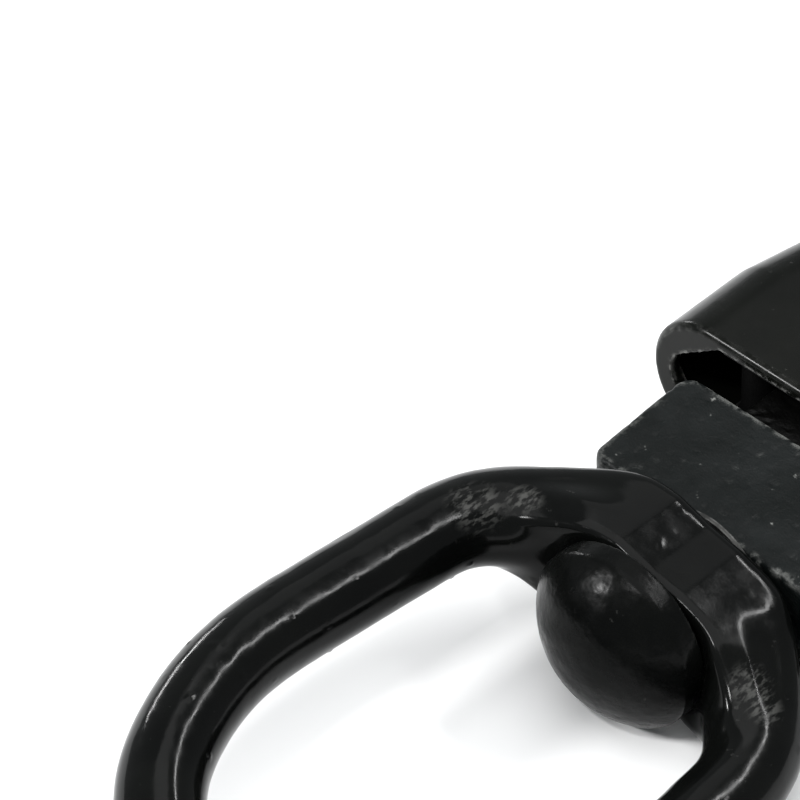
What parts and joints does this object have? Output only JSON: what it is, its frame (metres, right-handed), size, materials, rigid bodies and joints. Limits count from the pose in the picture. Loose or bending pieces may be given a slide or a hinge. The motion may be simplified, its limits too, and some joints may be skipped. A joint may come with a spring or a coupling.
{
  "type": "swivel hoist ring",
  "caption": "In-line swivel hoist ring: forged bail ring on a domed swivel pin, neck block rocking in a flat-oval housing, bored load tongue.",
  "frame": {"origin": "centre of the load bore in the tongue's eye, at mid thickness", "axes": "+Y along the object, from the bail ring at -Y towards the load eye; +Z along the load bore, out of the flat housing's upper face; +X across the housing"},
  "size_m": [0.0746, 0.2376, 0.0352],
  "materials": {
    "ring_paint": "semi-gloss black paint over a forged surface",
    "housing_paint": "satin black paint on pressed steel",
    "cast_black": "thin black paint over a pitted casting, worn at the edges",
    "dark_steel": "black phosphate",
    "black_oxide": "black oxide with machined faces",
    "bare_steel": "dull turned steel",
    "nipple_steel": "dull zinc plate",
    "bronze": "oiled turned bronze",
    "rubber": "matt moulded rubber"
  },
  "bodies": {
    "housing": {"housing_shell": "housing_paint", "cheek_plate_upper": "dark_steel", "cheek_plate_lower": "dark_steel", "load_tongue": "cast_black", "load_bush": "bronze", "rear_seal": "rubber", "stop_sleeves": "rubber", "stop_posts": "dark_steel", "pivot_barrel": "black_oxide", "pivot_screw": "black_oxide", "pivot_washers": "bare_steel", "bolt_washers": "bare_steel", "tongue_bolts": "black_oxide", "tongue_nuts": "black_oxide", "eye_side_washers": "bare_steel", "pivot_grease_nipple": "nipple_steel"},
    "neck": {"neck_block": "cast_black", "eye_bush": "bronze", "swivel_pin": "ring_paint", "head_washer": "bare_steel", "crown_washer": "bare_steel", "lock_dowel": "bare_steel"},
    "ring": {"bail_ring": "ring_paint", "crown_bush": "bronze"}
  },
  "joints": [
    {"name": "neck_rock", "type": "hinge", "parent": "housing", "child": "neck", "pos_m": [0, -0.07, 0], "axis": [0, 0, 1], "range_deg": [-10, 10]},
    {"name": "ring_swivel", "type": "hinge", "parent": "neck", "child": "ring", "pos_m": [0, -0.1218, 0], "axis": [0, 1, 0], "continuous": true}
  ]
}
